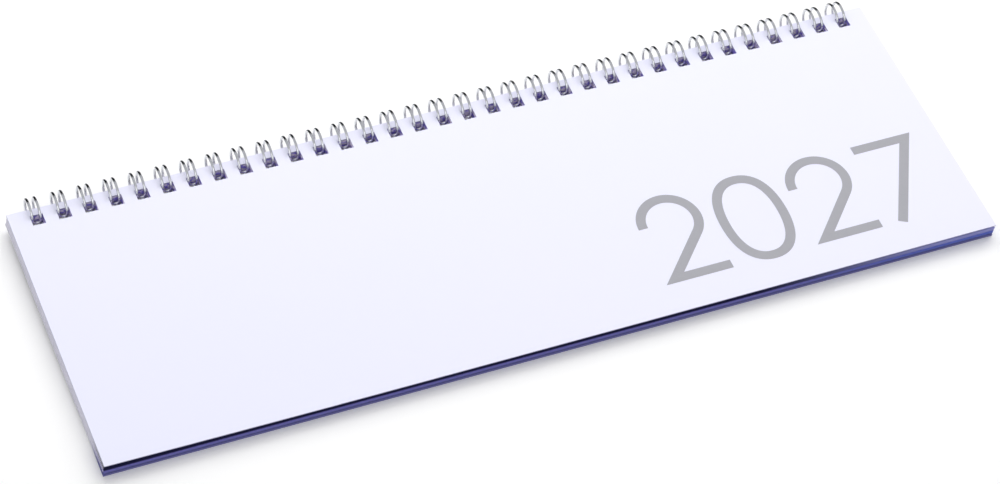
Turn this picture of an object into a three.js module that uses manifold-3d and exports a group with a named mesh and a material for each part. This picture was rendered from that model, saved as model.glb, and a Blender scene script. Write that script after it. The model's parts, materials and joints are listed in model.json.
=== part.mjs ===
// Wire-bound landscape desk calendar: front cover with a printed year, a block of leaves,
// a back board, and one twin-loop wire through a row of square holes along the back edge.
// Millimetres. X runs along the long edge, Y runs towards the binding, Z is up.
import * as THREE from 'three';
import { mergeVertices } from 'three/addons/utils/BufferGeometryUtils.js';
import Module from 'manifold-3d';

// Sheets
const sheetWidth = 297;
const sheetDepth = 100;
const boardThickness = 0.8;
const leavesThickness = 2.95;
const coverThickness = 0.35;
const boardToLeavesGap = 0.2;
const leavesToCoverGap = 0.3;
const stackLean = 0.4;

// Punched holes
const holePitch = 25.4 / 3;
const holeLength = 4;
const bindingMargin = 2.6;
const leastEndMargin = 6;

// Wire
const wireDiameter = 0.9;
const ringOuterDiameter = 9.7;
const ringAboveMiddle = 0.35;
const strandSpacing = 2.6;
const baseBendRadius = 0.8;
const endStubLength = 1.5;
const wireClearance = 0.1;
const baseRunClearance = 0.25;
const wireSides = 6;
const ringCornerDegrees = [270, 315, 360, 390, 420, 450, 480];
const stepsPerBend = 2;
const stepsPerTip = 3;

// Printed year
const yearDigits = '2027';
const digitHeight = 33.4;
const digitStroke = 3.2;
const digitOvershoot = 0.8;
const digitSpaces = [2.9, 3.2, 4.4];
const yearRightMargin = 9.2;
const yearBottomMargin = 10.85;
const twoWidth = 23.2;
const twoBowlRadius = 10.9;
const twoBowlInset = 0.45;
const twoTerminalDrop = 0.4;
const zeroWidth = 23.3;
const zeroRoundness = 0.64;
const sevenWidth = 21.7;
const sevenFootInset = 2.8;
const printThickness = 0.1;
const printGap = 0.1;
const stepsPerArc = 16;

// How far a cutting shape reaches past the face that it cuts
const cutterReach = 1;

// Places that follow from the sizes
const leavesBottom = boardThickness + boardToLeavesGap;
const coverBottom = leavesBottom + leavesThickness + leavesToCoverGap;
const stackHeight = coverBottom + coverThickness;
const wireRadius = wireDiameter / 2;
const ringRadius = ringOuterDiameter / 2 - wireRadius;
const ringZ = stackHeight / 2 + ringAboveMiddle;
const holeBackY = sheetDepth / 2 - bindingMargin;
const holeFrontY = holeBackY - holeLength;
const holeWidth = strandSpacing + wireDiameter + 2 * wireClearance + stackLean;
const ringInnerReach = ringRadius - wireRadius - wireClearance;
const ringY = holeBackY + Math.sqrt(ringInnerReach ** 2 - Math.max(ringZ, stackHeight - ringZ) ** 2);
const ringX = -stackLean / 2;
const ringDrop = ringOuterDiameter / 2 - ringZ;
const restTilt = Math.atan2(ringDrop, ringY + sheetDepth / 2);
const holeCount = Math.floor((sheetWidth - 2 * leastEndMargin) / holePitch) + 1;
const holeRowHalf = (holeCount - 1) * holePitch / 2;
const baseRunZ = boardThickness + baseRunClearance + wireRadius;
const baseAngle = Math.PI + Math.asin((ringZ - baseRunZ) / ringRadius);
const tipAngle = Math.PI;
const wireEndX = holeRowHalf + strandSpacing / 2 + baseBendRadius + endStubLength;

const wasm = await Module();
wasm.setup();

// A merged copy of a geometry that holds its places alone
function plainGeometry(geometry) {
  const plain = geometry.clone();
  plain.deleteAttribute('normal');
  plain.deleteAttribute('uv');
  return mergeVertices(plain);
}

function toSolid(geometry) {
  const merged = plainGeometry(geometry);
  return new wasm.Manifold(new wasm.Mesh({
    numProp: 3,
    vertProperties: new Float32Array(merged.attributes.position.array),
    triVerts: new Uint32Array(merged.index.array),
  }));
}

function fromSolid(solid) {
  const mesh = solid.getMesh();
  const geometry = new THREE.BufferGeometry();
  geometry.setAttribute('position', new THREE.BufferAttribute(mesh.vertProperties, mesh.numProp));
  geometry.setIndex(new THREE.BufferAttribute(mesh.triVerts, 1));
  return geometry;
}

function block(left, right, front, back, bottom, top) {
  const geometry = new THREE.BoxGeometry(right - left, back - front, top - bottom);
  return geometry.translate((left + right) / 2, (front + back) / 2, (bottom + top) / 2);
}

// A layer of the stack with its row of square holes, whose lower sheets have crept to the left
function punchedLayer(bottom, thickness) {
  const top = bottom + thickness;
  const halfWidth = sheetWidth / 2;
  const halfDepth = sheetDepth / 2;
  let layer = toSolid(block(-halfWidth, halfWidth, -halfDepth, halfDepth, bottom, top));
  for (let index = 0; index < holeCount; index += 1) {
    const left = index * holePitch - holeRowHalf - holeWidth / 2;
    const right = left + holeWidth;
    const punch = block(left, right, holeFrontY, holeBackY, bottom - cutterReach, top + cutterReach);
    layer = layer.subtract(toSolid(punch));
  }
  const geometry = fromSolid(layer);
  const places = geometry.attributes.position;
  for (let index = 0; index < places.count; index += 1) {
    const creep = stackLean * Math.max(coverBottom - places.getZ(index), 0) / coverBottom;
    places.setX(index, places.getX(index) - creep);
  }
  return geometry;
}

// The channel that the wire's base runs press into the lowest leaves
function baseChannel() {
  const clearance = wireRadius + baseRunClearance;
  const reach = wireEndX + clearance;
  const y = ringY + ringRadius * Math.cos(baseAngle);
  const bottom = leavesBottom - cutterReach;
  return block(ringX - reach, ringX + reach, y - clearance, y + clearance, bottom, baseRunZ + clearance);
}

function coverGeometry() {
  return punchedLayer(coverBottom, coverThickness);
}

function leavesGeometry() {
  const leaves = toSolid(punchedLayer(leavesBottom, leavesThickness));
  return fromSolid(leaves.subtract(toSolid(baseChannel())));
}

function boardGeometry() {
  return punchedLayer(0, boardThickness);
}

// A point on the ring's cylinder, x along its axis and angle from the back, upwards
function onRing(x, angle) {
  return new THREE.Vector3(x, ringY + ringRadius * Math.cos(angle), ringZ + ringRadius * Math.sin(angle));
}

// The bend at the foot of a strand: side is -1 where the run arrives and 1 where it leaves
function baseBend(strandX, side) {
  const points = [];
  for (let step = 0; step <= stepsPerBend; step += 1) {
    const turn = Math.PI / 2 * step / stepsPerBend;
    const x = strandX + side * baseBendRadius * (1 - Math.sin(turn));
    points.push(onRing(x, baseAngle + baseBendRadius * (1 - Math.cos(turn)) / ringRadius));
  }
  return side < 0 ? points : points.reverse();
}

// The corners of a strand between its foot and its tip, from the foot round under the block
function strandAngles() {
  const reach = ringY - holeBackY;
  const boardEdge = Math.PI + Math.atan2(ringZ, reach);
  const coverEdge = 3 * Math.PI - Math.atan2(stackHeight - ringZ, reach);
  return [boardEdge, ...ringCornerDegrees.map(THREE.MathUtils.degToRad), coverEdge];
}

// The round tip that joins the two strands of a loop
function tipTurn(loopX) {
  const points = [];
  for (let step = 0; step <= stepsPerTip; step += 1) {
    const turn = Math.PI * step / stepsPerTip;
    const x = loopX - strandSpacing / 2 * Math.cos(turn);
    points.push(onRing(x, tipAngle - strandSpacing / 2 * (1 - Math.sin(turn)) / ringRadius));
  }
  return points;
}

function loopPoints(loopX) {
  const angles = strandAngles();
  const left = loopX - strandSpacing / 2;
  const right = loopX + strandSpacing / 2;
  return [
    ...baseBend(left, -1),
    ...angles.map((angle) => onRing(left, angle)),
    ...tipTurn(loopX),
    ...angles.toReversed().map((angle) => onRing(right, angle)),
    ...baseBend(right, 1),
  ];
}

// The wire's middle line, with a ring of corners at each of its points
class WireLine extends THREE.Curve {
  constructor(points) {
    super();
    this.points = points;
  }

  getPoint(t) {
    const place = t * (this.points.length - 1);
    const index = Math.min(Math.floor(place), this.points.length - 2);
    return this.points[index].clone().lerp(this.points[index + 1], place - index);
  }

  getUtoTmapping(u) {
    return u;
  }

  // One side of the wire always faces away from the ring's axis
  computeFrenetFrames() {
    const last = this.points.length - 1;
    const tangents = this.points.map((point, index) => {
      const behind = this.points[Math.max(index - 1, 0)];
      const ahead = this.points[Math.min(index + 1, last)];
      const arriving = point.clone().sub(behind).normalize();
      const leaving = ahead.clone().sub(point).normalize();
      return arriving.add(leaving).normalize();
    });
    const normals = this.points.map((point, index) => {
      const outwards = new THREE.Vector3(0, point.y - ringY, point.z - ringZ);
      outwards.addScaledVector(tangents[index], -outwards.dot(tangents[index]));
      return outwards.normalize();
    });
    const binormals = tangents.map((tangent, index) => tangent.clone().cross(normals[index]));
    return { tangents, normals, binormals };
  }
}

function wireSection() {
  const section = new THREE.Shape();
  for (let side = 0; side < wireSides; side += 1) {
    const turn = 2 * Math.PI * side / wireSides;
    const x = wireRadius * Math.cos(turn);
    const y = wireRadius * Math.sin(turn);
    if (side === 0) {
      section.moveTo(x, y);
    } else {
      section.lineTo(x, y);
    }
  }
  section.closePath();
  return section;
}

function wireGeometry() {
  const points = [onRing(ringX - wireEndX, baseAngle)];
  for (let index = 0; index < holeCount; index += 1) {
    points.push(...loopPoints(ringX + index * holePitch - holeRowHalf));
  }
  points.push(onRing(ringX + wireEndX, baseAngle));
  const line = new WireLine(points);
  return new THREE.ExtrudeGeometry(wireSection(), { steps: points.length - 1, extrudePath: line });
}

// A 2: a round bowl whose stem leaves it straight and runs to the tip at the lower left
function drawTwo(shape) {
  const bowlX = twoBowlInset + twoBowlRadius;
  const bowlY = digitHeight + digitOvershoot - twoBowlRadius;
  const innerRadius = twoBowlRadius - digitStroke;
  const terminalY = bowlY - twoTerminalDrop;
  const stemAngle = Math.atan2(bowlY, bowlX) - Math.asin(innerRadius / Math.hypot(bowlX, bowlY));
  const stemStart = stemAngle - Math.PI / 2;
  const footRise = (bowlY - digitStroke) * Math.cos(stemAngle);
  const cornerX = bowlX + (twoBowlRadius - footRise) / Math.sin(stemAngle);
  shape.moveTo(0, 0);
  shape.lineTo(twoWidth, 0);
  shape.lineTo(twoWidth, digitStroke);
  shape.lineTo(cornerX, digitStroke);
  shape.absarc(bowlX, bowlY, twoBowlRadius, stemStart, Math.PI, false);
  shape.lineTo(twoBowlInset, terminalY);
  shape.lineTo(twoBowlInset + digitStroke, terminalY);
  shape.absarc(bowlX, bowlY, innerRadius, Math.PI, stemStart, true);
  shape.closePath();
  return twoWidth;
}

function drawOval(path, centreX, centreY, halfWidth, halfHeight) {
  const handleX = zeroRoundness * halfWidth;
  const handleY = zeroRoundness * halfHeight;
  const right = centreX + halfWidth;
  const left = centreX - halfWidth;
  const top = centreY + halfHeight;
  const bottom = centreY - halfHeight;
  path.moveTo(right, centreY);
  path.bezierCurveTo(right, centreY + handleY, centreX + handleX, top, centreX, top);
  path.bezierCurveTo(centreX - handleX, top, left, centreY + handleY, left, centreY);
  path.bezierCurveTo(left, centreY - handleY, centreX - handleX, bottom, centreX, bottom);
  path.bezierCurveTo(centreX + handleX, bottom, right, centreY - handleY, right, centreY);
}

function drawZero(shape) {
  const halfWidth = zeroWidth / 2;
  const middleY = digitHeight / 2;
  const halfHeight = middleY + digitOvershoot;
  drawOval(shape, halfWidth, middleY, halfWidth, halfHeight);
  const opening = new THREE.Path();
  drawOval(opening, halfWidth, middleY, halfWidth - digitStroke, halfHeight - digitStroke);
  shape.holes.push(opening);
  return zeroWidth;
}

// A 7: the stem's right side starts at the bar's end, and its foot is cut square to the stem
function drawSeven(shape) {
  const halfStroke = digitStroke / 2;
  const run = sevenWidth - sevenFootInset;
  const stemAngle = Math.atan2(digitHeight, run) + Math.asin(halfStroke / Math.hypot(run, digitHeight));
  const acrossX = halfStroke * Math.sin(stemAngle);
  const acrossY = halfStroke * Math.cos(stemAngle);
  const barBottom = digitHeight - digitStroke;
  const cornerX = sevenFootInset + barBottom / Math.tan(stemAngle) - halfStroke / Math.sin(stemAngle);
  shape.moveTo(sevenFootInset - acrossX, acrossY);
  shape.lineTo(sevenFootInset + acrossX, -acrossY);
  shape.lineTo(sevenWidth, digitHeight);
  shape.lineTo(0, digitHeight);
  shape.lineTo(0, barBottom);
  shape.lineTo(cornerX, barBottom);
  shape.closePath();
  return sevenWidth;
}

// Each drawing starts at its digit's lower left corner and returns the digit's width
const digitDrawings = { 0: drawZero, 2: drawTwo, 7: drawSeven };

function digitGeometry(shape, x) {
  const settings = { depth: printThickness, bevelEnabled: false, curveSegments: stepsPerArc };
  const geometry = new THREE.ExtrudeGeometry(shape, settings);
  return geometry.translate(x, yearBottomMargin - sheetDepth / 2, stackHeight + printGap);
}

// Finishes
const coverCard = new THREE.MeshStandardMaterial({ color: 0xf2f1fb, roughness: 0.55, metalness: 0 });
const printInk = new THREE.MeshStandardMaterial({ color: 0xb2b2b9, roughness: 0.6, metalness: 0 });
const leafPaper = new THREE.MeshStandardMaterial({ color: 0xc4c4dc, roughness: 0.8, metalness: 0 });
const backCard = new THREE.MeshStandardMaterial({ color: 0x9c9cb4, roughness: 0.85, metalness: 0 });
const silverWire = new THREE.MeshStandardMaterial({ color: 0xc9cbd2, roughness: 0.25, metalness: 1 });

function namedMesh(name, geometry, material) {
  const mesh = new THREE.Mesh(geometry, material);
  mesh.name = name;
  return mesh;
}

// The year's digits, placed from the right margin towards the left
function addYear(group) {
  let right = sheetWidth / 2 - yearRightMargin;
  for (let index = yearDigits.length - 1; index >= 0; index -= 1) {
    const shape = new THREE.Shape();
    const width = digitDrawings[yearDigits[index]](shape);
    group.add(namedMesh(`printed_digit_${index + 1}`, digitGeometry(shape, right - width), printInk));
    right -= width + (digitSpaces[index - 1] ?? 0);
  }
}

// The calendar lies on the front edge of its board and on the wire, so it is tilted a little
const calendar = new THREE.Group();
calendar.rotation.x = restTilt;
calendar.add(namedMesh('front_cover', coverGeometry(), coverCard));
addYear(calendar);
calendar.add(namedMesh('calendar_leaves', leavesGeometry(), leafPaper));
calendar.add(namedMesh('back_board', boardGeometry(), backCard));
calendar.add(namedMesh('binding_wire', wireGeometry(), silverWire));

// The origin is the middle of the bottom of the whole calendar
const reach = new THREE.Box3().setFromObject(calendar, true);
const middle = reach.getCenter(new THREE.Vector3());
calendar.position.set(-middle.x, -middle.y, -reach.min.z);

const model = new THREE.Group();
model.add(calendar);

export default model;
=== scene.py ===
"""Looks of a wire-bound landscape desk calendar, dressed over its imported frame.

The calendar's sizes are in millimetres in the stack's own frame: X along the long edge, Y towards the
binding and Z up from the board's underside. The placement turns them into metres in the frame's
coordinates. The studio is in metres.
"""

import json
import logging
import math
from collections.abc import Callable, Iterable
from dataclasses import dataclass, field
from enum import Enum

import bmesh
import bpy
from mathutils import Matrix, Vector

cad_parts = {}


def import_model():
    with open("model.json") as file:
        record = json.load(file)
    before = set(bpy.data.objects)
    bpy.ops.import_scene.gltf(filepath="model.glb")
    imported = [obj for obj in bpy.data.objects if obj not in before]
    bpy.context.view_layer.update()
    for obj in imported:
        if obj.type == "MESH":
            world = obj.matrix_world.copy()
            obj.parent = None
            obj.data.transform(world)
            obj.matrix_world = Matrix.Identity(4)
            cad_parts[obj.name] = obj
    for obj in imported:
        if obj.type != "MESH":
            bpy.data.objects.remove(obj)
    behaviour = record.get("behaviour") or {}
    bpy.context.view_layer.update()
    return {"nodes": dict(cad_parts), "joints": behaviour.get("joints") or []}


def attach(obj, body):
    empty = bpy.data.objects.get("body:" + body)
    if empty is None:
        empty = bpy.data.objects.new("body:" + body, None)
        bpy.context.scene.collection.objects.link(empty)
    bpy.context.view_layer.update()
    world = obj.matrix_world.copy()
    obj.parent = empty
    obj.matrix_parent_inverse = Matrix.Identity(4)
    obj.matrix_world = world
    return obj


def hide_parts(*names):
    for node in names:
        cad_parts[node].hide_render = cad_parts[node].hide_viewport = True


log = logging.getLogger("desk_calendar")

MM = 0.001

Colour = tuple[float, float, float]
Triple = tuple[float, float, float]
Flat = tuple[float, float]
Socket = bpy.types.NodeSocket


class Body(Enum):
    """The frame's bodies."""

    BLOCK = "block"
    COVER = "cover"


@dataclass(frozen=True)
class CalendarSizes:
    """Sizes of the sheets, holes and wire, in millimetres."""

    sheet_width: float = 297.0
    sheet_depth: float = 100.0
    board_thickness: float = 0.8
    leaves_thickness: float = 2.95
    cover_thickness: float = 0.35
    board_to_leaves_gap: float = 0.2
    leaves_to_cover_gap: float = 0.3
    stack_lean: float = 0.4
    hole_pitch: float = 25.4 / 3
    hole_length: float = 4.0
    binding_margin: float = 2.6
    hole_count: int = 34
    wire_diameter: float = 0.9
    ring_outer_diameter: float = 9.7
    ring_above_middle: float = 0.35
    strand_spacing: float = 2.6
    base_bend_radius: float = 0.8
    end_stub_length: float = 1.5
    wire_clearance: float = 0.1
    base_run_clearance: float = 0.25
    channel_end_clearance: float = 0.7

    @property
    def leaves_bottom(self) -> float:
        """Height of the lowest leaf's underside."""
        return self.board_thickness + self.board_to_leaves_gap

    @property
    def leaves_top(self) -> float:
        """Height of the highest leaf's face."""
        return self.leaves_bottom + self.leaves_thickness

    @property
    def stack_height(self) -> float:
        """Height of the cover's face."""
        return self.leaves_top + self.leaves_to_cover_gap + self.cover_thickness

    @property
    def wire_radius(self) -> float:
        """Radius of the wire itself."""
        return self.wire_diameter / 2

    @property
    def ring_radius(self) -> float:
        """Radius of the ring that the wire's middle line follows."""
        return self.ring_outer_diameter / 2 - self.wire_radius

    @property
    def hole_back(self) -> float:
        """Y of the holes' wall next to the binding edge."""
        return self.sheet_depth / 2 - self.binding_margin

    @property
    def hole_front(self) -> float:
        """Y of the holes' wall away from the binding edge."""
        return self.hole_back - self.hole_length

    @property
    def hole_width(self) -> float:
        """Width of a hole: the wire's two strands, their clearance and the stack's lean."""
        return self.strand_spacing + self.wire_diameter + 2 * self.wire_clearance + self.stack_lean

    @property
    def hole_row_half(self) -> float:
        """Half the distance from the first hole's middle to the last one's."""
        return (self.hole_count - 1) * self.hole_pitch / 2

    @property
    def ring_centre(self) -> Vector:
        """Middle of the wire's ring."""
        z = self.stack_height / 2 + self.ring_above_middle
        reach = self.ring_radius - self.wire_radius - self.wire_clearance
        y = self.hole_back + math.sqrt(reach**2 - max(z, self.stack_height - z) ** 2)
        return Vector((-self.stack_lean / 2, y, z))

    @property
    def rest_tilt(self) -> float:
        """Tilt of the stack as it lies on its front edge and on the wire."""
        ring = self.ring_centre
        drop = self.ring_outer_diameter / 2 - ring.z
        return math.atan2(drop, ring.y + self.sheet_depth / 2)

    @property
    def base_run_height(self) -> float:
        """Height of the wire's base runs, between the board and the leaves."""
        return self.board_thickness + self.base_run_clearance + self.wire_radius

    @property
    def base_angle(self) -> float:
        """Place of the base runs on the ring, as an angle from the back, upwards."""
        return math.pi + math.asin((self.ring_centre.z - self.base_run_height) / self.ring_radius)

    @property
    def wire_end(self) -> float:
        """Distance from the wire's middle to the cut end of its last base run."""
        return self.hole_row_half + self.strand_spacing / 2 + self.base_bend_radius + self.end_stub_length

    @property
    def channel_end(self) -> float:
        """Distance from the sheets' middle to the end of the channel for the base runs."""
        return self.wire_end + self.channel_end_clearance

    def hole_middles(self) -> list[float]:
        """X of each hole's middle, from left to right."""
        return [index * self.hole_pitch - self.hole_row_half for index in range(self.hole_count)]


@dataclass(frozen=True)
class Placement:
    """Turns places in the stack, in millimetres, into places in the frame, in metres."""

    matrix: Matrix

    @classmethod
    def from_hinge(cls, sizes: CalendarSizes, hinge: Iterable[float]) -> "Placement":
        """Finds the placement from the cover's hinge, which lies on the ring's middle line.

        Args:
            sizes: The calendar's sizes.
            hinge: The hinge's place in the frame, in metres.

        Returns:
            The placement.
        """
        turned = Matrix.Rotation(sizes.rest_tilt, 4, "X") @ Matrix.Scale(MM, 4)
        offset = Vector(hinge) - turned @ sizes.ring_centre
        return cls(Matrix.Translation(offset) @ turned)

    def apply(self, mesh: bpy.types.Mesh) -> None:
        """Moves a mesh from the stack's frame into the calendar's frame."""
        mesh.transform(self.matrix)
        mesh.update()


class NodeTree:
    """A tree of nodes that grows one node at a time."""

    def __init__(self, tree: bpy.types.NodeTree) -> None:
        """Starts from a tree."""
        self.tree = tree

    def node(self, kind: str, inputs: dict | None = None, **properties: object) -> bpy.types.Node:
        """Adds a node.

        Args:
            kind: The node's type name.
            inputs: Values or sockets for its inputs, by name or number.
            properties: Properties of the node.

        Returns:
            The node.
        """
        made = self.tree.nodes.new(kind)
        for key, value in properties.items():
            setattr(made, key, value)
        for name, value in (inputs or {}).items():
            if isinstance(value, Socket):
                self.join(value, made.inputs[name])
            else:
                made.inputs[name].default_value = value
        return made

    def join(self, source: Socket, target: Socket) -> None:
        """Links two sockets."""
        self.tree.links.new(source, target)

    def blend(self, factor: object, low: object, high: object, mode: str = "MIX") -> Socket:
        """Mixes two colours.

        Args:
            factor: The share of the second colour, as a number or a socket.
            low: A colour, or a socket that gives one.
            high: A colour, or a socket that gives one.
            mode: The way of mixing.

        Returns:
            The socket that gives the mixed colour.
        """
        mix = self.node("ShaderNodeMix", {"Factor": factor}, data_type="RGBA", blend_type=mode)
        for name, value in (("A", low), ("B", high)):
            target = self.colour_socket(mix.inputs, name)
            if isinstance(value, Socket):
                self.join(value, target)
            else:
                target.default_value = (*value, 1.0)
        return self.colour_socket(mix.outputs, "Result")

    @staticmethod
    def colour_socket(sockets: Iterable[Socket], name: str) -> Socket:
        """The colour socket of that name on a mix node, which has one of each kind."""
        return next(socket for socket in sockets if socket.name == name and socket.type == "RGBA")

    def ramp(self, value: Socket, low: float, high: float) -> Socket:
        """Maps a value from low to high smoothly onto 0 to 1."""
        inputs = {"Value": value, "From Min": low, "From Max": high}
        return self.node("ShaderNodeMapRange", inputs, interpolation_type="SMOOTHSTEP").outputs["Result"]

    def split(self, place: Socket) -> dict[str, Socket]:
        """Splits coordinates into X, Y and Z."""
        outputs = self.node("ShaderNodeSeparateXYZ", {"Vector": place}).outputs
        return {output.name: output for output in outputs}

    def unless_mirrored(self, seen: object, mirrored: object) -> Socket:
        """Gives one colour, but another one to what mirrors it."""
        glossy = self.node("ShaderNodeLightPath").outputs["Is Glossy Ray"]
        return self.blend(glossy, seen, mirrored)


@dataclass(frozen=True)
class Surface:
    """How a finish catches the light: one grain varies the roughness and gives a bump, deep in metres."""

    roughness: Flat
    specular: float
    bump_strength: float
    bump_depth: float
    metallic: float = 0.0


class NodeMaterial(NodeTree):
    """A material with one principled shader, whose nodes are added one at a time."""

    def __init__(self, name: str) -> None:
        """Starts the material."""
        self.material = bpy.data.materials.new(name)
        self.material.use_nodes = True
        super().__init__(self.material.node_tree)
        self.shader = self.tree.nodes["Principled BSDF"]

    def object_place(self) -> Socket:
        """Adds Object coordinates, in metres."""
        return self.node("ShaderNodeTexCoord").outputs["Object"]

    def mapped(
        self,
        place: Socket,
        scale: Iterable[float],
        location: Iterable[float] = (0.0, 0.0, 0.0),
        rotation: Iterable[float] = (0.0, 0.0, 0.0),
    ) -> Socket:
        """Scales, turns and moves coordinates, in that order, with the turn in radians."""
        change = {"Location": tuple(location), "Rotation": tuple(rotation), "Scale": tuple(scale)}
        return self.node("ShaderNodeMapping", {"Vector": place, **change}).outputs["Vector"]

    def noise(self, place: Socket, scale: float, detail: float = 2.0) -> Socket:
        """Adds a noise texture and gives its factor, which is its first output."""
        return self.node("ShaderNodeTexNoise", {"Vector": place, "Scale": scale, "Detail": detail}).outputs[0]

    def span(self, value: Socket, low: float, high: float) -> Socket:
        """Maps a value from 0 to 1 onto low to high."""
        inputs = {"Value": value, "To Min": low, "To Max": high}
        return self.node("ShaderNodeMapRange", inputs).outputs["Result"]

    def maths(self, operation: str, first: Socket, second: object = 0.0) -> Socket:
        """Adds a maths node on a socket and a number or socket."""
        return self.node("ShaderNodeMath", {0: first, 1: second}, operation=operation).outputs["Value"]

    def cut_edge(self) -> Socket:
        """Reads the attribute that is 1 on a slab's walls and 0 on its faces."""
        return self.node("ShaderNodeAttribute", attribute_name=Slab.EDGE).outputs["Fac"]

    def finish(self, colour: Socket, grain: Socket, surface: Surface) -> bpy.types.Material:
        """Sets the shader's inputs.

        Args:
            colour: The socket that gives the colour.
            grain: The socket that varies the roughness and gives the bump its height.
            surface: The surface's numbers.

        Returns:
            The material.
        """
        bump = {"Height": grain, "Strength": surface.bump_strength, "Distance": surface.bump_depth}
        inputs = self.shader.inputs
        inputs["Metallic"].default_value = surface.metallic
        inputs["Specular IOR Level"].default_value = surface.specular
        self.join(colour, inputs["Base Color"])
        self.join(self.span(grain, *surface.roughness), inputs["Roughness"])
        self.join(self.node("ShaderNodeBump", bump).outputs["Normal"], inputs["Normal"])
        return self.material


class StackMaterial(NodeMaterial):
    """A material that reads its places in the stack's own millimetres."""

    def __init__(self, name: str, sizes: CalendarSizes, placement: Placement) -> None:
        """Starts the material with Object coordinates turned back into the stack's frame.

        Args:
            name: The material's name.
            sizes: The calendar's sizes.
            placement: The stack's place in the coordinates of the piece.
        """
        super().__init__(name)
        self.sizes = sizes
        place, turn, scale = placement.matrix.inverted().decompose()
        self.place = self.mapped(self.object_place(), scale, place, turn.to_euler())
        self.axes = self.split(self.place)

    def front_share(self, depths: Flat) -> Socket:
        """Share of the edge colour near the free long edge, none at the first depth and all at the second."""
        front = -self.sizes.sheet_depth / 2
        return self.ramp(self.axes["Y"], front + depths[0], front + depths[1])


@dataclass(frozen=True)
class CoverCard:
    """Smooth white card with a faint cool tint, a little fibre and painted shade on its cut edges."""

    face: Colour = (0.785, 0.797, 0.95)
    face_warm: Colour = (0.808, 0.804, 0.95)
    # Painted shade: the cut edges are coloured darker and more violet than the white card.
    cut_edge: Colour = (0.40, 0.40, 0.55)
    cloud_scale: float = 9.0
    fibre_scale: float = 1600.0
    fibre_detail: float = 4.0
    surface: Surface = Surface((0.42, 0.5), 0.35, 0.25, 0.00001)

    def build(self) -> bpy.types.Material:
        """Makes the card's material."""
        made = NodeMaterial("cover_card_finish")
        place = made.object_place()
        fibre = made.noise(place, self.fibre_scale, self.fibre_detail)
        face = made.blend(made.noise(place, self.cloud_scale), self.face, self.face_warm)
        # The card's walls take the darker cut edge colour, which is painted shade.
        return made.finish(made.blend(made.cut_edge(), face, self.cut_edge), fibre, self.surface)


@dataclass(frozen=True)
class GreyInk:
    """Flat light grey print with the faint mottle of ink on card."""

    light: Colour = (0.388, 0.388, 0.424)
    dark: Colour = (0.360, 0.360, 0.396)
    mottle_scale: float = 420.0
    mottle_detail: float = 5.0
    surface: Surface = Surface((0.46, 0.56), 0.3, 0.15, 0.00001)

    def build(self) -> bpy.types.Material:
        """Makes the ink's material."""
        made = NodeMaterial("grey_ink_finish")
        mottle = made.noise(made.object_place(), self.mottle_scale, self.mottle_detail)
        return made.finish(made.blend(mottle, self.dark, self.light), mottle, self.surface)


@dataclass(frozen=True)
class EdgeInksAndShading:
    """Colours along the leaves' free edge, from the top leaf down: painted shading in a line just under the
    cover, the print, and a darker line at the foot.
    """

    # Painted shading just under the cover: a dark shadow line, lighter and lit at the right end.
    top: Colour
    middle: Colour
    # Darker at the foot of the block.
    foot: Colour


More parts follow.
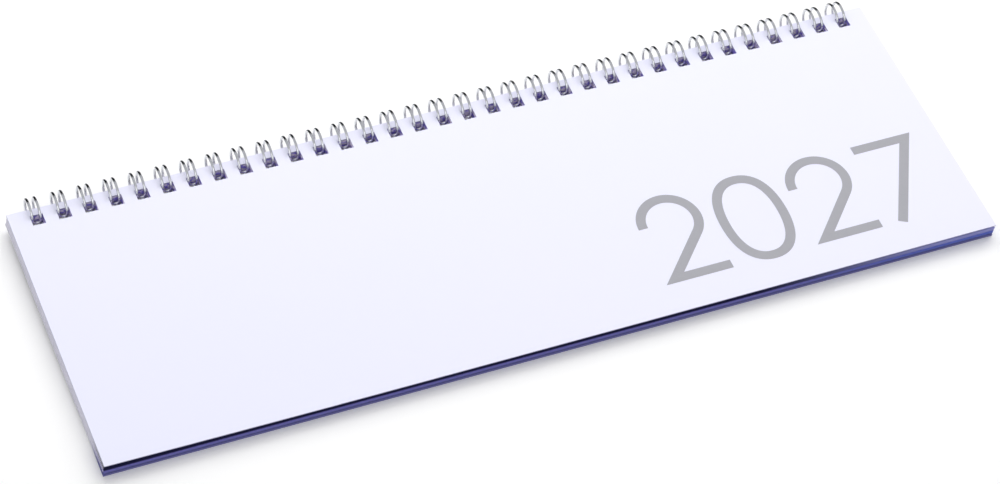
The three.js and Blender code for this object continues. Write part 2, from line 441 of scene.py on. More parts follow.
@dataclass(frozen=True)
class LeafPaper:
    """Stacked leaves: white paper with a printed band and painted shading along the free edge, and a violet
    tint round the holes.
    """

    sizes: CalendarSizes
    placement: Placement
    paper: Colour = (0.90, 0.885, 0.97)
    paper_shade: Colour = (0.74, 0.73, 0.84)
    # The top colours are painted shading under the cover: a near-black shadow line at the left, a lighter lit
    # line at the right end.
    left_inks_and_shading: EdgeInksAndShading = EdgeInksAndShading((0.006, 0.006, 0.045), (0.19, 0.18, 0.52), (0.145, 0.15, 0.40))
    right_inks_and_shading: EdgeInksAndShading = EdgeInksAndShading((0.31, 0.32, 0.64), (0.12, 0.165, 0.58), (0.13, 0.16, 0.46))
    # A violet tint round the holes, darker in random blots.
    hole_tint: Colour = (0.88, 0.80, 0.98)
    hole_tint_dark: Colour = (0.29, 0.24, 0.76)
    blot_scale: Triple = (0.55, 0.4, 0.9)
    blot_edge: Flat = (0.42, 0.58)
    # Depths below the top leaf over which the painted shading under the cover comes in.
    top_line: Flat = (1.65, 0.9)
    foot_line: Flat = (0.9, 0.3)
    # X over which the left colours, with their dark shadow line, turn into the right ones.
    right_reach: Flat = (60.0, 138.0)
    band_depth: Flat = (14.0, 3.0)
    hole_band: Flat = (2.9, 2.4)
    row_fade: float = 1.0
    bleed: Flat = (1.1, 0.6)
    leaf_scale: Triple = (0.006, 0.006, 9.5)
    leaf_detail: float = 3.0
    streak_share: float = 0.35
    streak_shade: Flat = (0.55, 1.25)
    surface: Surface = Surface((0.7, 0.9), 0.2, 0.5, 0.00003)

    def build(self) -> bpy.types.Material:
        """Makes the leaves' material."""
        made = StackMaterial("leaf_paper_finish", self.sizes, self.placement)
        leaf = made.noise(made.mapped(made.place, self.leaf_scale), 1.0, self.leaf_detail)
        paper = made.blend(leaf, self.paper_shade, self.paper)
        along = made.ramp(made.axes["X"], *self.right_reach)
        # Edge colours at the left and at the right end, each with painted shading under the cover.
        inks_and_shading = [self._edge_inks_and_shading(made, inks_and_shading) for inks_and_shading in (self.left_inks_and_shading, self.right_inks_and_shading)]
        cut = made.cut_edge()
        bled = made.maths("MAXIMUM", cut, made.front_share(self.bleed))
        front_band = made.maths("MULTIPLY", made.front_share(self.band_depth), bled)
        edge = made.blend(front_band, paper, made.blend(along, *inks_and_shading))
        # The hole walls and rims take the violet tint, darker in random blots.
        blots = made.noise(made.mapped(made.place, self.blot_scale), 1.0)
        hole_tint = made.blend(made.ramp(blots, *self.blot_edge), self.hole_tint_dark, self.hole_tint)
        rimmed = made.maths("MAXIMUM", cut, self._hole_rim(made))
        hole_band = made.maths("MULTIPLY", self._hole_band(made), rimmed)
        colour = made.blend(hole_band, edge, hole_tint)
        shade = made.span(leaf, *self.streak_shade)
        grey = made.node("ShaderNodeCombineColor", {"Red": shade, "Green": shade, "Blue": shade})
        streaked = made.blend(self.streak_share, colour, grey.outputs["Color"], "MULTIPLY")
        return made.finish(streaked, leaf, self.surface)

    def _edge_inks_and_shading(self, made: StackMaterial, inks_and_shading: EdgeInksAndShading) -> Socket:
        """Colour of the edge at each height: painted shading under the cover, the print, and a darker foot.

        Args:
            made: The leaves' material.
            inks_and_shading: The print's colours, with the painted shading under the cover.

        Returns:
            The socket that gives the colour.
        """
        top = self.sizes.leaves_top
        bottom = self.sizes.leaves_bottom
        # The top line is painted shading under the cover; the foot is darker.
        high = made.ramp(made.axes["Z"], top - self.top_line[0], top - self.top_line[1])
        low = made.ramp(made.axes["Z"], bottom + self.foot_line[0], bottom + self.foot_line[1])
        return made.blend(high, made.blend(low, inks_and_shading.middle, inks_and_shading.foot), inks_and_shading.top)

    def _hole_rim(self, made: StackMaterial) -> Socket:
        """Share of the violet tint on a leaf's face, only right at the sides of the holes.

        Args:
            made: The leaves' material.

        Returns:
            The socket that gives the share.
        """
        half_pitch = self.sizes.hole_pitch / 2
        inwards = made.maths("PINGPONG", made.axes["X"], half_pitch)
        rim = half_pitch - self.sizes.hole_width / 2
        return made.ramp(inwards, rim - self.bleed[0], rim - self.bleed[1])

    def _hole_band(self, made: StackMaterial) -> Socket:
        """Share of the violet tint round the holes, short of the sheets' short edges.

        Args:
            made: The leaves' material.

        Returns:
            The socket that gives the share.
        """
        sizes = self.sizes
        middle = (sizes.hole_front + sizes.hole_back) / 2
        away = made.maths("ABSOLUTE", made.maths("SUBTRACT", made.axes["Y"], middle))
        side = made.maths("ABSOLUTE", made.axes["X"])
        row = sizes.hole_row_half + sizes.hole_width
        near = made.ramp(away, *self.hole_band)
        return made.maths("MULTIPLY", near, made.ramp(side, row, row - self.row_fade))


@dataclass(frozen=True)
class GreyBoard:
    """Plain light grey back board with short fibres and a dark violet band along its free edge."""

    sizes: CalendarSizes
    placement: Placement
    light: Colour = (0.80, 0.79, 0.87)
    dark: Colour = (0.58, 0.57, 0.66)
    # Darker violet colour along the free edge.
    ink: Colour = (0.135, 0.133, 0.34)
    band_depth: Flat = (14.0, 3.0)
    fleck_scale: float = 900.0
    fleck_detail: float = 5.0
    cloud_scale: float = 14.0
    surface: Surface = Surface((0.75, 0.92), 0.2, 0.3, 0.00003)

    def build(self) -> bpy.types.Material:
        """Makes the board's material."""
        made = StackMaterial("back_board_finish", self.sizes, self.placement)
        place = made.object_place()
        fleck = made.noise(place, self.fleck_scale, self.fleck_detail)
        cloud = made.noise(place, self.cloud_scale)
        card = made.blend(made.maths("MULTIPLY", fleck, cloud), self.light, self.dark)
        # The board turns dark violet along its free edge.
        return made.finish(made.blend(made.front_share(self.band_depth), card, self.ink), fleck, self.surface)


@dataclass(frozen=True)
class SilverWire:
    """Bright drawn wire with a fine lengthwise haze."""

    metal: Colour = (0.80, 0.81, 0.84)
    haze: Colour = (0.66, 0.67, 0.70)
    haze_scale: float = 700.0
    haze_detail: float = 3.0
    surface: Surface = Surface((0.14, 0.26), 0.5, 0.1, 0.00001, metallic=1.0)

    def build(self) -> bpy.types.Material:
        """Makes the wire's material."""
        made = NodeMaterial("silver_wire_finish")
        haze = made.noise(made.object_place(), self.haze_scale, self.haze_detail)
        return made.finish(made.blend(haze, self.metal, self.haze), haze, self.surface)


@dataclass
class Slab:
    """A thin closed sheet: flat faces seen from above, a height for its top and one thickness."""

    EDGE = "cut_edge"

    name: str
    corners: list[Flat]
    faces: list[tuple[int, ...]]
    thickness: float
    top: Callable[[float, float], float]

    def mesh(self) -> bpy.types.Mesh:
        """Makes the closed mesh, in the stack's frame.

        Returns:
            The mesh, whose walls carry the cut edge attribute.
        """
        count = len(self.corners)
        heights = [self.top(x, y) for x, y in self.corners]
        points = [(x, y, z) for (x, y), z in zip(self.corners, heights)]
        points += [(x, y, z - self.thickness) for (x, y), z in zip(self.corners, heights)]
        lids = list(self.faces) + [tuple(count + i for i in reversed(face)) for face in self.faces]
        walls = [(b, a, a + count, b + count) for a, b in self._rim()]
        mesh = bpy.data.meshes.new(self.name)
        mesh.from_pydata(points, [], lids + walls)
        edge = mesh.attributes.new(self.EDGE, "FLOAT", "FACE")
        edge.data.foreach_set("value", [0.0] * len(lids) + [1.0] * len(walls))
        mesh.update()
        return mesh

    def _rim(self) -> list[tuple[int, int]]:
        """Edges that one face alone has, in that face's direction."""
        edges = [(face[i - 1], face[i]) for face in self.faces for i in range(len(face))]
        known = set(edges)
        return [(a, b) for a, b in edges if (b, a) not in known]


@dataclass
class PunchedSheet:
    """A rectangle with the row of square holes, cut into a grid."""

    sizes: CalendarSizes
    inset: float = 0.0
    front_steps: int = 1
    channel: Flat | None = None

    def grid(self) -> tuple[list[Flat], list[tuple[int, ...]]]:
        """Makes the grid's corners and the faces that aren't open.

        Returns:
            The corners and the faces, seen from above.
        """
        columns = self._columns()
        rows = self._rows()
        across = len(columns)
        corners = [(x, y) for y in rows for x in columns]
        faces = []
        for row in range(len(rows) - 1):
            for column in range(across - 1):
                x = (columns[column] + columns[column + 1]) / 2
                y = (rows[row] + rows[row + 1]) / 2
                if not self._is_open(x, y):
                    low = row * across + column
                    faces.append((low, low + 1, low + 1 + across, low + across))
        return corners, faces

    def _columns(self) -> list[float]:
        """X of the grid's lines: the sides, the channel's ends and the holes' walls."""
        half = self.sizes.sheet_width / 2 - self.inset
        ends = [self.sizes.channel_end] if self.channel else []
        stops = [-half] + [-end for end in ends]
        for middle in self.sizes.hole_middles():
            stops += [middle - self.sizes.hole_width / 2, middle + self.sizes.hole_width / 2]
        return stops + ends + [half]

    def _rows(self) -> list[float]:
        """Y of the grid's lines, from the free edge to the binding edge."""
        half = self.sizes.sheet_depth / 2 - self.inset
        rows = spread([-half, self.sizes.hole_front], self.front_steps)
        rows += list(self.channel or ())
        return rows + [self.sizes.hole_back, half]

    def _is_open(self, x: float, y: float) -> bool:
        """Whether a place lies in a hole or in the channel under the base runs."""
        sizes = self.sizes
        nearest = min(sizes.hole_middles(), key=lambda middle: abs(middle - x))
        in_hole = abs(x - nearest) < sizes.hole_width / 2
        if sizes.hole_front < y < sizes.hole_back and in_hole:
            return True
        in_row = abs(x) < sizes.channel_end
        return self.channel is not None and in_row and self.channel[0] < y < self.channel[1]


def spread(stops: list[float], steps: int) -> list[float]:
    """Cuts each stretch between two stops into equal steps.

    Args:
        stops: The stops, in order.
        steps: Steps in each stretch.

    Returns:
        Every place, the stops among them.
    """
    places = [stops[0]]
    for low, high in zip(stops, stops[1:]):
        places += [low + (high - low) * step / steps for step in range(1, steps + 1)]
    return places


def smooth(share: float) -> float:
    """Eases a share between 0 and 1."""
    held = min(max(share, 0.0), 1.0)
    return held * held * (3.0 - 2.0 * held)


def link(name: str, mesh: bpy.types.Mesh) -> bpy.types.Object:
    """Puts a mesh in the scene as an object at the origin."""
    made = bpy.data.objects.new(name, mesh)
    bpy.context.scene.collection.objects.link(made)
    return made


def dress(piece: bpy.types.Object, material: bpy.types.Material) -> None:
    """Gives a piece its one material."""
    piece.data.materials.clear()
    piece.data.materials.append(material)


class NodeTool(NodeTree):
    """A Geometry Nodes tree with named inputs, put on an object and turned into a plain mesh."""

    def __init__(self, name: str) -> None:
        """Starts an empty tree with a geometry input and output."""
        super().__init__(bpy.data.node_groups.new(name, "GeometryNodeTree"))
        for way in ("INPUT", "OUTPUT"):
            self.tree.interface.new_socket("Geometry", in_out=way, socket_type="NodeSocketGeometry")
        self.start = self.node("NodeGroupInput")
        self.end = self.node("NodeGroupOutput")
        self.given: dict[str, object] = {}

    def size(self, name: str, kind: str, value: object) -> Socket:
        """Adds a named input.

        Args:
            name: The input's name.
            kind: The kind of socket, without the first part of its type name.
            value: The value that the modifier gives it.

        Returns:
            The input's socket inside the tree.
        """
        socket = self.tree.interface.new_socket(name, in_out="INPUT", socket_type=f"NodeSocket{kind}")
        self.given[socket.identifier] = value
        return self.start.outputs[name]

    def repeated(self, count: int, step: Triple, first: Triple = (0.0, 0.0, 0.0)) -> Socket:
        """Repeats the object's mesh along a line.

        Args:
            count: Number of copies.
            step: The move from one copy to the next.
            first: The move of the first copy.

        Returns:
            The socket that gives the copies.
        """
        inputs = {
            "Count": self.size("Copies", "Int", count),
            "Start Location": self.size("First copy", "Vector", first),
            "Offset": self.size("Step", "Vector", step),
        }
        line = self.node("GeometryNodeMeshLine", inputs, mode="OFFSET")
        places = {"Points": line.outputs["Mesh"], "Instance": self.start.outputs["Geometry"]}
        return self.node("GeometryNodeInstanceOnPoints", places).outputs["Instances"]

    def realized(self, geometry: Socket) -> Socket:
        """Turns copies into geometry of their own."""
        return self.node("GeometryNodeRealizeInstances", {"Geometry": geometry}).outputs["Geometry"]

    def finish(self, geometry: Socket, material: bpy.types.Material) -> None:
        """Ends the tree in Realize Instances and Set Material."""
        colour = self.size("Material", "Material", material)
        inputs = {"Geometry": self.realized(geometry), "Material": colour}
        paint = self.node("GeometryNodeSetMaterial", inputs)
        self.join(paint.outputs["Geometry"], self.end.inputs["Geometry"])

    def run(self, worker: bpy.types.Object, name: str) -> bpy.types.Object:
        """Puts the tree on an object and turns the evaluated result into a plain mesh object.

        Args:
            worker: The object that the tree starts from. It is removed.
            name: The new object's name.

        Returns:
            The plain object.
        """
        modifier = worker.modifiers.new(self.tree.name, "NODES")
        modifier.node_group = self.tree
        for identifier, value in self.given.items():
            modifier[identifier] = value
        shown = worker.evaluated_get(bpy.context.evaluated_depsgraph_get())
        mesh = bpy.data.meshes.new_from_object(shown)
        mesh.name = name
        worker.modifiers.clear()
        bpy.data.objects.remove(worker)
        return link(name, mesh)


@dataclass
class FrontCover:
    """The white card on top, which lifts a little at its two free corners."""

    sizes: CalendarSizes
    placement: Placement
    dip: float = 0.22
    left_lift: float = 0.6
    right_lift: float = 0.75
    lowest_x: float = -60.0
    inset: float = 0.02
    front_steps: int = 24

    def height(self, x: float, y: float) -> float:
        """Height of the card's face at one place."""
        half = self.sizes.sheet_width / 2
        left = max(self.lowest_x - x, 0.0) / (self.lowest_x + half)
        right = max(x - self.lowest_x, 0.0) / (half - self.lowest_x)
        along = self.left_lift * left**2 + self.right_lift * right**2
        free = (self.sizes.hole_front - y) / (self.sizes.hole_front + self.sizes.sheet_depth / 2)
        return self.sizes.stack_height + (along - self.dip) * smooth(free)

    def build(self, finish: CoverCard) -> bpy.types.Object:
        """Makes the cover.

        Args:
            finish: The card's finish.

        Returns:
            The cover's object.
        """
        corners, faces = PunchedSheet(self.sizes, self.inset, self.front_steps).grid()
        mesh = Slab("cover_card", corners, faces, self.sizes.cover_thickness, self.height).mesh()
        self.placement.apply(mesh)
        card = link("cover_card", mesh)
        dress(card, finish.build())
        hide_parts("front_cover")
        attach(card, Body.COVER.value)
        return card


@dataclass
class Strokes:
    """A digit's drawing: pairs of points across its stroke, whether it closes, and its width."""

    pairs: list[tuple[Flat, Flat]]
    closed: bool
    width: float

    def steps(self) -> list[tuple[tuple[Flat, Flat], tuple[Flat, Flat]]]:
        """Each pair with the next one along the stroke."""
        following = self.pairs[1:] + (self.pairs[:1] if self.closed else [])
        return list(zip(self.pairs, following))


@dataclass
class PrintedYear:
    """The year's four plain digits, printed on the cover."""

    sizes: CalendarSizes
    placement: Placement
    cover: FrontCover
    digits: str = "2027"
    height: float = 33.4
    stroke: float = 3.2
    overshoot: float = 0.8
    spaces: tuple[float, ...] = (2.9, 3.2, 4.4)
    right_margin: float = 9.2
    bottom_margin: float = 10.85
    two_width: float = 23.2
    two_bowl_radius: float = 10.9
    two_bowl_inset: float = 0.45
    two_terminal_drop: float = 0.4
    zero_width: float = 23.3
    zero_roundness: float = 0.64
    seven_width: float = 21.7
    seven_foot_inset: float = 2.8
    ink_thickness: float = 0.02
    ink_lift: float = 0.02
    curve_steps: int = 20
    place_digits: int = 4
    drawings: dict[str, Callable[[], Strokes]] = field(init=False)

    def __post_init__(self) -> None:
        """Names the drawing of each digit."""
        self.drawings = {"0": self._zero, "2": self._two, "7": self._seven}

    def _two(self) -> Strokes:
        """Draws a 2: a round bowl whose stem leaves it straight and runs to the lower left tip."""
        bowl_x = self.two_bowl_inset + self.two_bowl_radius
        bowl_y = self.height + self.overshoot - self.two_bowl_radius
        inner = self.two_bowl_radius - self.stroke
        stem = math.atan2(bowl_y, bowl_x) - math.asin(inner / math.hypot(bowl_x, bowl_y))
        rise = (bowl_y - self.stroke) * math.cos(stem)
        corner = (bowl_x + (self.two_bowl_radius - rise) / math.sin(stem), self.stroke)
        pairs = [
            ((self.two_width, 0.0), (self.two_width, self.stroke)),
            ((corner[0], 0.0), corner),
            ((0.0, 0.0), corner),
        ]
        start = stem - math.pi / 2
        for step in range(2 * self.curve_steps + 1):
            turn = start + (math.pi - start) * step / (2 * self.curve_steps)
            spot = (math.cos(turn), math.sin(turn))
            inside = (bowl_x + inner * spot[0], bowl_y + inner * spot[1])
            outside = (bowl_x + self.two_bowl_radius * spot[0], bowl_y + self.two_bowl_radius * spot[1])
            pairs.append((inside, outside))
        end = bowl_y - self.two_terminal_drop
        pairs.append(((self.two_bowl_inset + self.stroke, end), (self.two_bowl_inset, end)))
        return Strokes(pairs, False, self.two_width)

    def _zero(self) -> Strokes:
        """Draws a 0: one upright oval."""
        centre = (self.zero_width / 2, self.height / 2)
        half = (centre[0], centre[1] + self.overshoot)
        outer = oval(centre, half, self.curve_steps, self.zero_roundness)
        inner_half = (half[0] - self.stroke, half[1] - self.stroke)
        inner = oval(centre, inner_half, self.curve_steps, self.zero_roundness)
        return Strokes(list(zip(inner, outer)), True, self.zero_width)

    def _seven(self) -> Strokes:
        """Draws a 7: a bar, and a stem whose foot is cut square to it."""
        half = self.stroke / 2
        run = self.seven_width - self.seven_foot_inset
        stem = math.atan2(self.height, run) + math.asin(half / math.hypot(run, self.height))
        across = (half * math.sin(stem), half * math.cos(stem))
        bar = self.height - self.stroke
        corner = (self.seven_foot_inset + bar / math.tan(stem) - half / math.sin(stem), bar)
        pairs = [
            ((0.0, self.height), (0.0, bar)),
            ((self.seven_width, self.height), corner),
            ((self.seven_foot_inset + across[0], -across[1]), (self.seven_foot_inset - across[0], across[1])),
        ]
        return Strokes(pairs, False, self.seven_width)

    def build(self, finish: GreyInk) -> list[bpy.types.Object]:
        """Makes the four digits, placed from the right margin towards the left.

        Args:
            finish: The ink's finish.

        Returns:
            The digits' objects, from left to right.
        """
        material = finish.build()
        right = self.sizes.sheet_width / 2 - self.right_margin
        bottom = self.bottom_margin - self.sizes.sheet_depth / 2
        made = []
        for index in range(len(self.digits), 0, -1):
            strokes = self.drawings[self.digits[index - 1]]()
            piece = self._ribbon(f"year_digit_{index}", strokes, (right - strokes.width, bottom))
            dress(piece, material)
            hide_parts(f"printed_digit_{index}")
            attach(piece, Body.COVER.value)
            made.insert(0, piece)
            right -= strokes.width + (self.spaces[index - 2] if index > 1 else 0.0)
        return made

    def _ribbon(self, name: str, strokes: Strokes, corner: Flat) -> bpy.types.Object:
        """Makes one digit as a thin slab that follows the cover's face.

        Args:
            name: The piece's name.
            strokes: The digit's drawing.
            corner: The digit's lower left corner in the stack's frame.

        Returns:
            The digit's object.
        """
        corners: list[Flat] = []
        numbers: dict[Flat, int] = {}

        def number(point: Flat) -> int:
            """The corner's number, the same for two corners in one place."""
            key = (round(point[0], self.place_digits), round(point[1], self.place_digits))
            if key not in numbers:
                numbers[key] = len(corners)
                corners.append((point[0] + corner[0], point[1] + corner[1]))
            return numbers[key]

        faces = []
        for (low, high), (next_low, next_high) in strokes.steps():
            loop = [number(low), number(high), number(next_high), number(next_low)]
            face = tuple(dict.fromkeys(loop))
            if len(face) > 2:
                faces.append(self._seen_from_above(corners, face))
        mesh = Slab(name, corners, faces, self.ink_thickness, self._ink_top).mesh()
        self.placement.apply(mesh)
        return link(name, mesh)

    def _ink_top(self, x: float, y: float) -> float:
        """Height of the ink's face at one place."""
        return self.cover.height(x, y) + self.ink_lift + self.ink_thickness

    @staticmethod
    def _seen_from_above(corners: list[Flat], face: tuple[int, ...]) -> tuple[int, ...]:
        """Turns a face so that it runs anticlockwise seen from above."""
        area = 0.0
        for first, second in zip(face, face[1:] + face[:1]):
            area += corners[first][0] * corners[second][1] - corners[second][0] * corners[first][1]
        return face if area > 0 else tuple(reversed(face))


def bezier(points: tuple[Flat, ...], share: float) -> Flat:
    """A place on a cubic curve."""
    rest = 1.0 - share
    weights = (rest**3, 3 * rest**2 * share, 3 * rest * share**2, share**3)
    x = sum(weight * point[0] for weight, point in zip(weights, points))
    y = sum(weight * point[1] for weight, point in zip(weights, points))
    return (x, y)


def oval(centre: Flat, half: Flat, steps: int, roundness: float) -> list[Flat]:
    """Points round a full oval made of four cubic curves.

    Args:
        centre: The oval's middle.
        half: Half its width and half its height.
        steps: Points in each quarter.
        roundness: Length of the curves' handles as a share of the half sizes.

    Returns:
        The points, anticlockwise from the right.
    """
    quarter = ((1.0, 0.0), (1.0, roundness), (roundness, 1.0), (0.0, 1.0))
    points = []
    for turn in range(4):
        for step in range(steps):
            x, y = bezier(quarter, step / steps)
            for _ in range(turn):
                x, y = -y, x
            points.append((centre[0] + half[0] * x, centre[1] + half[1] * y))
    return points


@dataclass
class LeafBlock:
    """The block of leaves, each a thin sheet that lies a hair off its neighbours."""

    sizes: CalendarSizes
    placement: Placement
    leaf_count: int = 28
    air_share: float = 0.08
    inset: float = 0.12
    stray: float = 0.09
    seed: int = 7

    def build(self, finish: LeafPaper) -> bpy.types.Object:
        """Makes the block.

        Args:
            finish: The leaves' finish.

        Returns:
            The block's object.
        """
        material = finish.build()
        pitch = self.sizes.leaves_thickness / self.leaf_count
        channel_top = self.sizes.base_run_height + self.sizes.wire_radius + self.sizes.base_run_clearance
        pressed = math.ceil((channel_top - self.sizes.leaves_bottom) / pitch)
        lower = self._stack("leaves_lower", material, 0, pressed, self._channel())
        upper = self._stack("leaves_upper", material, pressed, self.leaf_count - pressed, None)
        block = self._joined("leaf_block", [lower, upper])
        self.placement.apply(block.data)
        dress(block, material)
        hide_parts("calendar_leaves")
        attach(block, Body.BLOCK.value)
        return block

    def _channel(self) -> Flat:
        """Front and back of the channel that the base runs press into the lowest leaves."""
        sizes = self.sizes
        middle = sizes.ring_centre.y + sizes.ring_radius * math.cos(sizes.base_angle)
        clearance = sizes.wire_radius + sizes.base_run_clearance
        return (middle - clearance, middle + clearance)

    def _creep(self, height: float) -> float:
        """How far the stack has crept to the left at one height."""
        cover_bottom = self.sizes.stack_height - self.sizes.cover_thickness
        return self.sizes.stack_lean * (cover_bottom - height) / cover_bottom

    def _stack(
        self, name: str, material: bpy.types.Material, first: int, count: int, channel: Flat | None
    ) -> bpy.types.Object:
        """Repeats one leaf upwards with a small stray of each.

        Args:
            name: The piece's name.
            material: The leaves' material.
            first: Number of the lowest leaf, from the bottom.
            count: Number of leaves.
            channel: Front and back of the channel, or none.

        Returns:
            The stack's object, in the stack's frame.
        """
        pitch = self.sizes.leaves_thickness / self.leaf_count
        bottom = self.sizes.leaves_bottom + first * pitch
        corners, faces = PunchedSheet(self.sizes, self.inset, channel=channel).grid()
        creep = self._creep(bottom)
        placed = [(x - creep, y) for x, y in corners]
        thickness = pitch * (1.0 - self.air_share)
        mesh = Slab(name, placed, faces, thickness, lambda x, y: bottom + thickness).mesh()
        tool = NodeTool(f"{name}_nodes")
        leaves = tool.repeated(count, (creep - self._creep(bottom + pitch), 0.0, pitch))
        strays = {
            0: tool.size("Least stray", "Vector", (-self.stray, -self.stray, 0.0)),
            1: tool.size("Most stray", "Vector", (self.stray, self.stray, 0.0)),
            "Seed": tool.size("Seed", "Int", self.seed + first),
        }
        shift = tool.node("FunctionNodeRandomValue", strays, data_type="FLOAT_VECTOR").outputs["Value"]
        moved = tool.node("GeometryNodeTranslateInstances", {"Instances": leaves, "Translation": shift})
        tool.finish(moved.outputs["Instances"], material)
        return tool.run(link(name, mesh), name)

    @staticmethod
    def _joined(name: str, parts: list[bpy.types.Object]) -> bpy.types.Object:
        """Joins meshes into one object."""
        shell = bmesh.new()
        for part in parts:
            shell.from_mesh(part.data)
            bpy.data.objects.remove(part)
        mesh = bpy.data.meshes.new(name)
        shell.to_mesh(mesh)
        shell.free()
        return link(name, mesh)


@dataclass
class BindingWire:
    """The twin-loop wire: base runs between the loops, and two strands to each loop's round tip."""

    sizes: CalendarSizes
    placement: Placement
    strand_step: float = math.radians(7.0)
    bend_steps: int = 8
    tip_steps: int = 12
    section_sides: int = 12
    round_share: float = 0.985
    weld_distance: float = 0.001

    def _on_ring(self, x: float, angle: float) -> Vector:
        """A place on the ring, x along its axis and angle from the back, upwards."""
        ring = self.sizes.ring_centre
        radius = self.sizes.ring_radius
        return Vector((x, ring.y + radius * math.cos(angle), ring.z + radius * math.sin(angle)))

    def unit(self) -> list[Vector]:
        """The wire's middle line over one pitch, from the middle of one base run to the next.

        Returns:
            The points, about a loop whose middle is at x = 0.
        """
        sizes = self.sizes
        half = sizes.strand_spacing / 2
        bend = sizes.base_bend_radius
        foot = sizes.base_angle + bend / sizes.ring_radius
        tip = 3 * math.pi
        tip_start = tip - half / sizes.ring_radius
        left = [self._on_ring(-sizes.hole_pitch / 2, sizes.base_angle)]
        for step in range(self.bend_steps + 1):
            turn = math.pi / 2 * step / self.bend_steps
            x = -half - bend * (1 - math.sin(turn))
            left.append(self._on_ring(x, sizes.base_angle + bend * (1 - math.cos(turn)) / sizes.ring_radius))
        steps = round((tip_start - foot) / self.strand_step)
        left += [self._on_ring(-half, foot + (tip_start - foot) * step / steps) for step in range(1, steps)]
        for step in range(self.tip_steps // 2):
            turn = math.pi * step / self.tip_steps
            angle = tip - half * (1 - math.sin(turn)) / sizes.ring_radius
            left.append(self._on_ring(-half * math.cos(turn), angle))
        right = [Vector((-point.x, point.y, point.z)) for point in reversed(left)]
        return left + [self._on_ring(0.0, tip)] + right

    def _cut_ends(self, tool: NodeTool, geometry: Socket) -> Socket:
        """Pulls the two outermost points in to where the wire is cut off.

        Args:
            tool: The wire's node tree.
            geometry: The socket that gives the wire's middle line.

        Returns:
            The socket that gives the shortened line.
        """
        middle = self.sizes.ring_centre.x
        end = self.sizes.wire_end
        place = tool.node("GeometryNodeInputPosition").outputs["Position"]
        split = tool.split(place)
        limits = {
            "Min": tool.size("Left end", "Float", middle - end),
            "Max": tool.size("Right end", "Float", middle + end),
        }
        held = tool.node("ShaderNodeClamp", {"Value": split["X"], **limits}).outputs["Result"]
        joined = tool.node("ShaderNodeCombineXYZ", {"X": held, "Y": split["Y"], "Z": split["Z"]})
        inputs = {"Geometry": geometry, "Position": joined.outputs["Vector"]}
        return tool.node("GeometryNodeSetPosition", inputs).outputs["Geometry"]

    def _tube(self, tool: NodeTool, line: Socket) -> Socket:
        """Makes the round wire along its middle line.

        Args:
            tool: The wire's node tree.
            line: The socket that gives the middle line as edges.

        Returns:
            The socket that gives the wire's smooth surface.
        """
        round_inputs = {
            "Resolution": tool.size("Section sides", "Int", self.section_sides),
            "Radius": tool.size("Wire radius", "Float", self.sizes.wire_radius * self.round_share),
        }
        path = tool.node("GeometryNodeMeshToCurve", {"Mesh": line}).outputs["Curve"]
        section = tool.node("GeometryNodeCurvePrimitiveCircle", round_inputs, mode="RADIUS").outputs["Curve"]
        inputs = {"Curve": path, "Profile Curve": section, "Fill Caps": True}
        tube = tool.node("GeometryNodeCurveToMesh", inputs).outputs["Mesh"]
        return tool.node("GeometryNodeSetShadeSmooth", {"Geometry": tube}).outputs["Geometry"]

    def build(self, finish: SilverWire) -> bpy.types.Object:
        """Makes the whole wire.

        Args:
            finish: The wire's finish.

        Returns:
            The wire's object.
        """
        sizes = self.sizes
        points = self.unit()
        mesh = bpy.data.meshes.new("wire_unit")
        mesh.from_pydata(points, [(i, i + 1) for i in range(len(points) - 1)], [])
        tool = NodeTool("twin_loop_nodes")
        first = (sizes.ring_centre.x - sizes.hole_row_half, 0.0, 0.0)
        loops = tool.repeated(sizes.hole_count, (sizes.hole_pitch, 0.0, 0.0), first)
        distance = tool.size("Weld distance", "Float", self.weld_distance)
        row = {"Geometry": tool.realized(loops), "Distance": distance}
        weld = tool.node("GeometryNodeMergeByDistance", row)
        material = finish.build()
        tool.finish(self._tube(tool, self._cut_ends(tool, weld.outputs["Geometry"])), material)
        wire = tool.run(link("wire_unit", mesh), "twin_loop_wire")
        self.placement.apply(wire.data)
        dress(wire, material)
        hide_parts("binding_wire")
        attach(wire, Body.BLOCK.value)
        return wire


@dataclass(frozen=True)
class SoftBox:
    """A square soft light that faces the calendar."""

    name: str
    place: Triple
    side: float
    power: float
    mirrored: bool = False


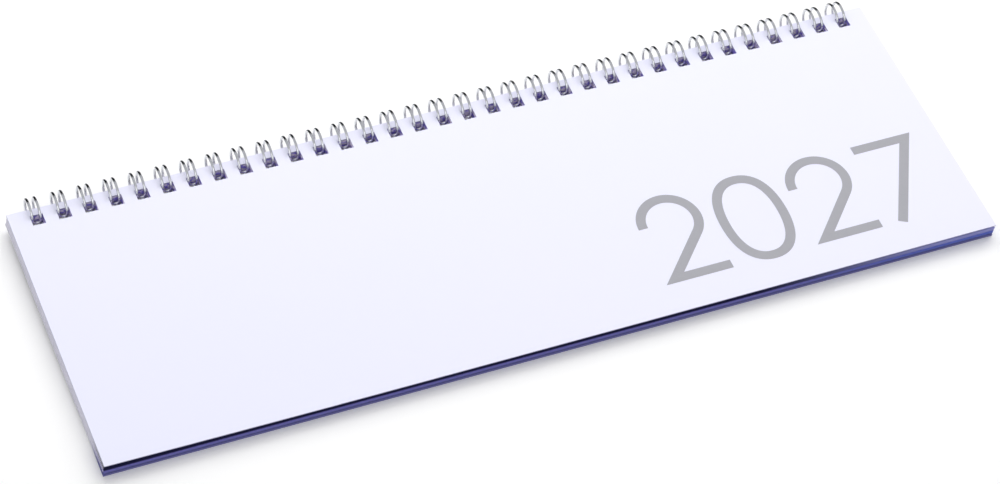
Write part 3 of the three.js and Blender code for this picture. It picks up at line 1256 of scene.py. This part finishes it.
@dataclass(frozen=True)
class Studio:
    """Pale floor, soft light and the photograph's camera, in metres."""

    floor_half: float = 12.0
    floor_colour: Colour = (0.97, 0.97, 0.972)
    floor_shade: float = 0.99
    floor_grain: float = 3.0
    floor_roughness: float = 1.0
    floor_specular: float = 0.0
    sky: Colour = (1.0, 1.0, 1.0)
    sky_strength: float = 0.52
    mirror_front: Colour = (1.10, 1.11, 1.14)
    mirror_back: Colour = (0.01, 0.01, 0.012)
    mirror_turn: Flat = (0.6, 0.85)
    # Painted reflection: the floor's colour as the wire mirrors it, dark but for a strip behind the wire.
    mirror_floor: Colour = (0.03, 0.03, 0.035)
    mirror_edge: Flat = (-0.02, 0.05)
    mirror_far_edge: Flat = (0.059, 0.069)
    boxes: tuple[SoftBox, ...] = (
        SoftBox("top_box", (0.45, 0.6, 1.6), 1.3, 7.0),
        SoftBox("right_box", (0.75, 0.5, 0.7), 0.6, 3.2),
        SoftBox("front_box", (-0.5, -1.25, 0.95), 1.1, 4.8, mirrored=True),
        SoftBox("back_box", (0.0, 0.42, 0.38), 0.4, 1.2),
    )
    lens: float = 116.34
    aim: Triple = (-0.00576, -0.00971, 0.0057)
    distance: float = 1.01158
    azimuth: float = math.radians(-27.52)
    elevation: float = math.radians(49.647)
    roll: float = math.radians(7.157)
    clip: Flat = (0.01, 60.0)

    def build_floor(self) -> bpy.types.Object:
        """Makes the floor. In the bright wire's reflections it shows a painted reflection: dark, all but a
        strip behind it.

        Returns:
            The floor's object.
        """
        half = self.floor_half
        corners = [(-half, -half, 0.0), (half, -half, 0.0), (half, half, 0.0), (-half, half, 0.0)]
        mesh = bpy.data.meshes.new("floor")
        mesh.from_pydata(corners, [], [(0, 1, 2, 3)])
        made = NodeMaterial("floor_finish")
        grain = made.noise(made.object_place(), self.floor_grain)
        shaded = tuple(value * self.floor_shade for value in self.floor_colour)
        pale = made.blend(grain, self.floor_colour, shaded)
        # Painted reflection: the wire sees the floor dark, all but a strip behind it.
        back = made.split(made.object_place())["Y"]
        near = made.blend(made.ramp(back, *self.mirror_edge), self.mirror_floor, self.floor_colour)
        mirrored = made.blend(made.ramp(back, *self.mirror_far_edge), near, self.mirror_floor)
        made.join(made.unless_mirrored(pale, mirrored), made.shader.inputs["Base Color"])
        made.shader.inputs["Roughness"].default_value = self.floor_roughness
        made.shader.inputs["Specular IOR Level"].default_value = self.floor_specular
        mesh.materials.append(made.material)
        floor = link("floor", mesh)
        return floor

    def build_sky(self) -> None:
        """Makes the even light all round. The bright wire mirrors it bright in front and dark behind."""
        world = bpy.data.worlds.new("studio_sky")
        bpy.context.scene.world = world
        world.use_nodes = True
        made = NodeTree(world.node_tree)
        back = made.split(made.node("ShaderNodeTexCoord").outputs["Generated"])["Y"]
        mirrored = made.blend(made.ramp(back, *self.mirror_turn), self.mirror_front, self.mirror_back)
        background = made.tree.nodes["Background"]
        background.inputs["Strength"].default_value = self.sky_strength
        made.join(made.unless_mirrored(self.sky, mirrored), background.inputs["Color"])

    def build_lights(self) -> None:
        """Hangs the soft boxes. The bright wire mirrors only those in front of it."""
        for box in self.boxes:
            light = bpy.data.lights.new(box.name, "AREA")
            light.shape = "SQUARE"
            light.size = box.side
            light.energy = box.power
            lamp = bpy.data.objects.new(box.name, light)
            lamp.location = box.place
            lamp.rotation_euler = (-Vector(box.place)).to_track_quat("-Z", "Y").to_euler()
            lamp.visible_glossy = box.mirrored
            bpy.context.scene.collection.objects.link(lamp)

    def build_camera(self) -> bpy.types.Object:
        """Sets the camera where the photograph was taken.

        Returns:
            The camera's object.
        """
        level = math.cos(self.elevation)
        back = Vector(
            (math.sin(self.azimuth) * level, -math.cos(self.azimuth) * level, math.sin(self.elevation))
        )
        right = (-back).cross(Vector((0, 0, 1))).normalized()
        up = back.cross(right)
        turned_right = right * math.cos(self.roll) + up * math.sin(self.roll)
        turned_up = back.cross(turned_right)
        data = bpy.data.cameras.new("photo_camera")
        data.lens = self.lens
        data.clip_start, data.clip_end = self.clip
        camera = bpy.data.objects.new("photo_camera", data)
        axes = Matrix((turned_right, turned_up, back)).transposed().to_4x4()
        camera.matrix_world = Matrix.Translation(Vector(self.aim) + back * self.distance) @ axes
        bpy.context.scene.collection.objects.link(camera)
        bpy.context.scene.camera = camera
        return camera


def dress_board(
    sizes: CalendarSizes, placement: Placement, nodes: dict[str, bpy.types.Object]
) -> bpy.types.Object:
    """Gives the back board, whose shape stays as built, its finish.

    Args:
        sizes: The calendar's sizes.
        placement: The stack's place in the frame.
        nodes: The frame's nodes by name.

    Returns:
        The board's object.
    """
    board = nodes["back_board"]
    own = Placement(board.matrix_world.inverted() @ placement.matrix)
    dress(board, GreyBoard(sizes, own).build())
    return board


def main() -> None:
    """Builds every piece in order and reports it."""
    logging.basicConfig(level=logging.INFO, format="%(name)s: %(message)s")
    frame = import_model()
    bpy.context.scene.view_settings.view_transform = "Standard"
    sizes = CalendarSizes()
    placement = Placement.from_hinge(sizes, frame["joints"][0]["pos_m"])
    studio = Studio()
    studio.build_camera()
    studio.build_sky()
    studio.build_lights()
    studio.build_floor()
    cover = FrontCover(sizes, placement)
    pieces = [cover.build(CoverCard())]
    pieces += PrintedYear(sizes, placement, cover).build(GreyInk())
    pieces.append(LeafBlock(sizes, placement).build(LeafPaper(sizes, placement)))
    pieces.append(BindingWire(sizes, placement).build(SilverWire()))
    pieces.append(dress_board(sizes, placement, frame["nodes"]))
    for piece in pieces:
        log.info("%s: %d faces", piece.name, len(piece.data.polygons))


if __name__ == "__main__":
    main()
